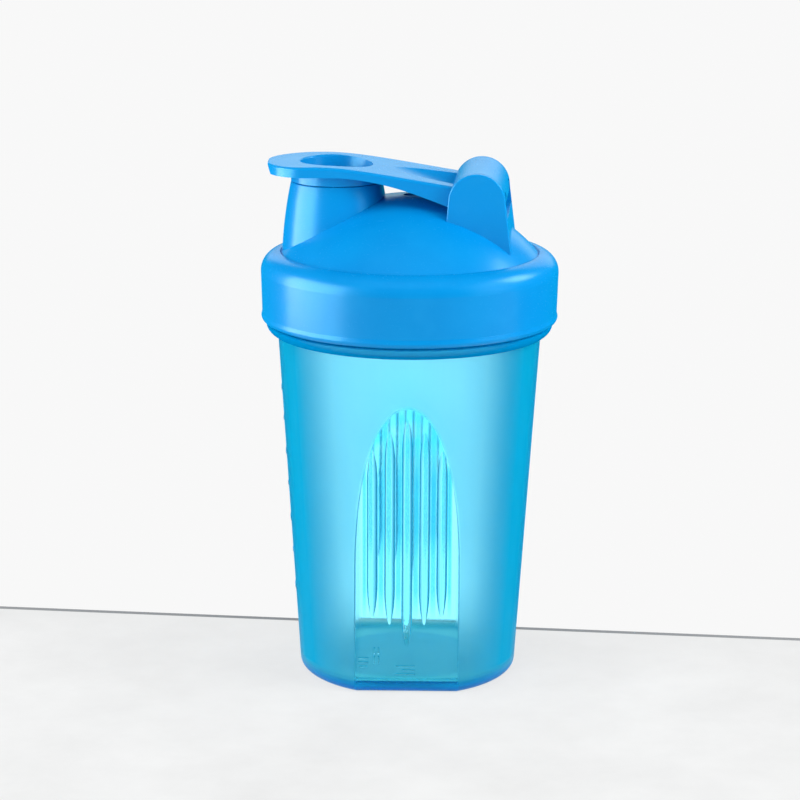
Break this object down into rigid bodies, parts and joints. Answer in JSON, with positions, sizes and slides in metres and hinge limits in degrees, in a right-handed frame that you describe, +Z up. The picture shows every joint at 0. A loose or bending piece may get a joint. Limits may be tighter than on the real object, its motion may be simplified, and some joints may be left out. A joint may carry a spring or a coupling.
{
  "type": "shaker bottle",
  "caption": "Tapered translucent shaker cup with ribbed grip panels, a domed screw lid, and a flip cap that plugs the drinking spout.",
  "frame": {"origin": "centre of the cup's foot, in the plane the bottle stands on", "axes": "+Z up along the cup's axis, +X towards the flip cap's hinge, the spout on -X, the grip panels facing nearly -Y and +Y, 3.5 degrees round from them"},
  "size_m": [0.098, 0.098, 0.1721],
  "materials": {
    "cup": "satin translucent polypropylene, clear in the grip panels",
    "lid": "fine satin moulding texture",
    "flip_cap": "fine satin moulding texture",
    "seal": "soft silicone",
    "grid": "smooth natural polypropylene"
  },
  "bodies": {
    "cup": {"cup": "cup"},
    "seal": {"seal_ring": "seal"},
    "lid": {"lid": "lid", "mixing_grid": "grid"},
    "flip_cap": {"flip_cap": "flip_cap"}
  },
  "joints": [
    {"name": "lid_lift", "type": "slide", "parent": "cup", "child": "seal", "axis": [0, 0, 1], "range_m": [0, 0.016]},
    {"name": "lid_turn", "type": "hinge", "parent": "seal", "child": "lid", "pos_m": [0, 0, 0], "axis": [0, 0, 1], "range_deg": [0, 960]},
    {"name": "flip_hinge", "type": "hinge", "parent": "lid", "child": "flip_cap", "pos_m": [0.0227, 0, 0.162], "axis": [0, 1, 0], "range_deg": [0, 120]}
  ],
  "couplings": [
    {"joint": "lid_lift", "follows": "lid_turn", "m_per_rad": 0.00095493}
  ]
}
